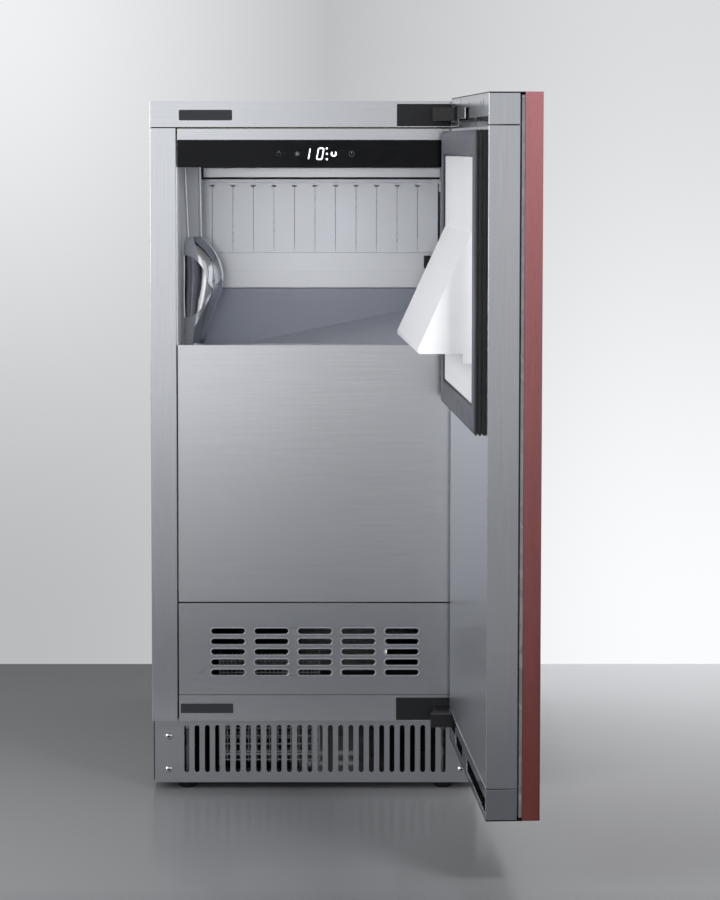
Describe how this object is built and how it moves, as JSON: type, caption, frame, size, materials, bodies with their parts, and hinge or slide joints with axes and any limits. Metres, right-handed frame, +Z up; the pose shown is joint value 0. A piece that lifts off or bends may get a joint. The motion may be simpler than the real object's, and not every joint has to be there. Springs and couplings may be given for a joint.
{
  "type": "ice maker",
  "caption": "Built-in undercounter ice maker with a side-hinged panel-ready door, open ice bin, splash curtain, scoop, louvred lower panel and slotted toe grille on levelling feet.",
  "frame": {"origin": "the floor point under the middle of the box that the machine fills with its door open; the cabinet's middle is 19 mm to the left of it and its front face 82.5 mm in front", "axes": "+Z up, +X to the right as seen by someone facing the front, +Y from the front towards the back"},
  "size_m": [0.4166, 0.9609, 0.8057],
  "materials": {
    "brushed_steel": "satin",
    "painted_steel": "satin",
    "galvanised_steel": "satin",
    "black_plastic": "satin",
    "grey_plastic": "satin",
    "white_plastic": "gloss",
    "clear_grey_plastic": "satin",
    "black_glass": "gloss",
    "circuit_board": "satin",
    "foam": "matte",
    "gasket_rubber": "matte",
    "polished_steel": "polished",
    "nickel": "satin",
    "aluminium_fins": "satin",
    "black_enamel": "gloss",
    "brass": "satin",
    "cherry_wood": "satin"
  },
  "bodies": {
    "cabinet": {"side_panel_left": "painted_steel", "side_panel_right": "painted_steel", "top_panel": "galvanised_steel", "back_panel": "galvanised_steel", "base_pan": "black_enamel", "leg_brackets": "galvanised_steel", "bin_shelf": "galvanised_steel", "top_rail": "brushed_steel", "stiles": "brushed_steel", "bottom_rail": "brushed_steel", "upper_trim": "brushed_steel", "front_panel": "brushed_steel", "vent_panel": "brushed_steel", "kick_grille": "brushed_steel", "kick_screws": "polished_steel", "plug_covers": "black_plastic", "control_panel": "black_glass", "control_housing": "black_plastic", "control_board": "circuit_board", "bin_liner": "grey_plastic", "insulation": "foam", "rear_slide": "grey_plastic", "side_slide": "grey_plastic", "curtain_rail": "grey_plastic", "curtain_rod": "polished_steel", "rod_brackets": "grey_plastic", "water_trough": "grey_plastic", "evaporator": "nickel", "water_distributor": "clear_grey_plastic", "circulation_pump": "black_plastic", "bin_sensor": "black_plastic", "scoop_hook": "polished_steel", "condenser": "aluminium_fins", "fan_motor": "black_enamel", "compressor": "black_enamel", "drain_pump": "black_plastic", "drain_fitting": "grey_plastic", "water_valve": "brass", "power_inlet": "black_plastic", "hinge_cases": "black_plastic", "hinge_arms": "black_enamel"},
    "door": {"door_shell": "brushed_steel", "door_inner_panel": "brushed_steel", "door_insulation": "foam", "door_liner": "white_plastic", "ice_deflector": "white_plastic", "door_gasket": "gasket_rubber", "door_cap_top": "brushed_steel", "door_cap_bottom": "brushed_steel", "door_hinge_bushes": "black_plastic", "panel_brackets": "galvanised_steel", "wood_panel": "cherry_wood", "door_edge_trims": "black_plastic"},
    "ice_curtain": {"ice_curtain": "clear_grey_plastic"},
    "scoop": {"scoop": "polished_steel"},
    "fan": {"fan_blade": "black_plastic"},
    "foot_front_left": {"foot_front_left": "black_plastic"},
    "foot_front_right": {"foot_front_right": "black_plastic"},
    "foot_rear_left": {"foot_rear_left": "black_plastic"},
    "foot_rear_right": {"foot_rear_right": "black_plastic"}
  },
  "joints": [
    {"name": "door_swing", "type": "hinge", "parent": "cabinet", "child": "door", "pos_m": [0.1571, -0.1161, 0.438], "axis": [0, 0, 1], "range_deg": [-92.64, 17.36]},
    {"name": "curtain_swing", "type": "hinge", "parent": "cabinet", "child": "ice_curtain", "pos_m": [-0.019, 0.2175, 0.708], "axis": [-1, 0, 0], "range_deg": [0, 35]},
    {"name": "scoop_swing", "type": "hinge", "parent": "cabinet", "child": "scoop", "pos_m": [-0.165, 0.0075, 0.744], "axis": [0, -1, 0], "range_deg": [0, 25]},
    {"name": "fan_spin", "type": "hinge", "parent": "cabinet", "child": "fan", "pos_m": [-0.073, 0.0495, 0.092], "axis": [0, 1, 0], "continuous": true},
    {"name": "foot_front_left_turn", "type": "hinge", "parent": "cabinet", "child": "foot_front_left", "pos_m": [-0.169, -0.0495, 0.04], "axis": [0, 0, 1], "continuous": true},
    {"name": "foot_front_right_turn", "type": "hinge", "parent": "cabinet", "child": "foot_front_right", "pos_m": [0.131, -0.0495, 0.04], "axis": [0, 0, 1], "continuous": true},
    {"name": "foot_rear_left_turn", "type": "hinge", "parent": "cabinet", "child": "foot_rear_left", "pos_m": [-0.169, 0.4175, 0.04], "axis": [0, 0, 1], "continuous": true},
    {"name": "foot_rear_right_turn", "type": "hinge", "parent": "cabinet", "child": "foot_rear_right", "pos_m": [0.131, 0.4175, 0.04], "axis": [0, 0, 1], "continuous": true}
  ]
}
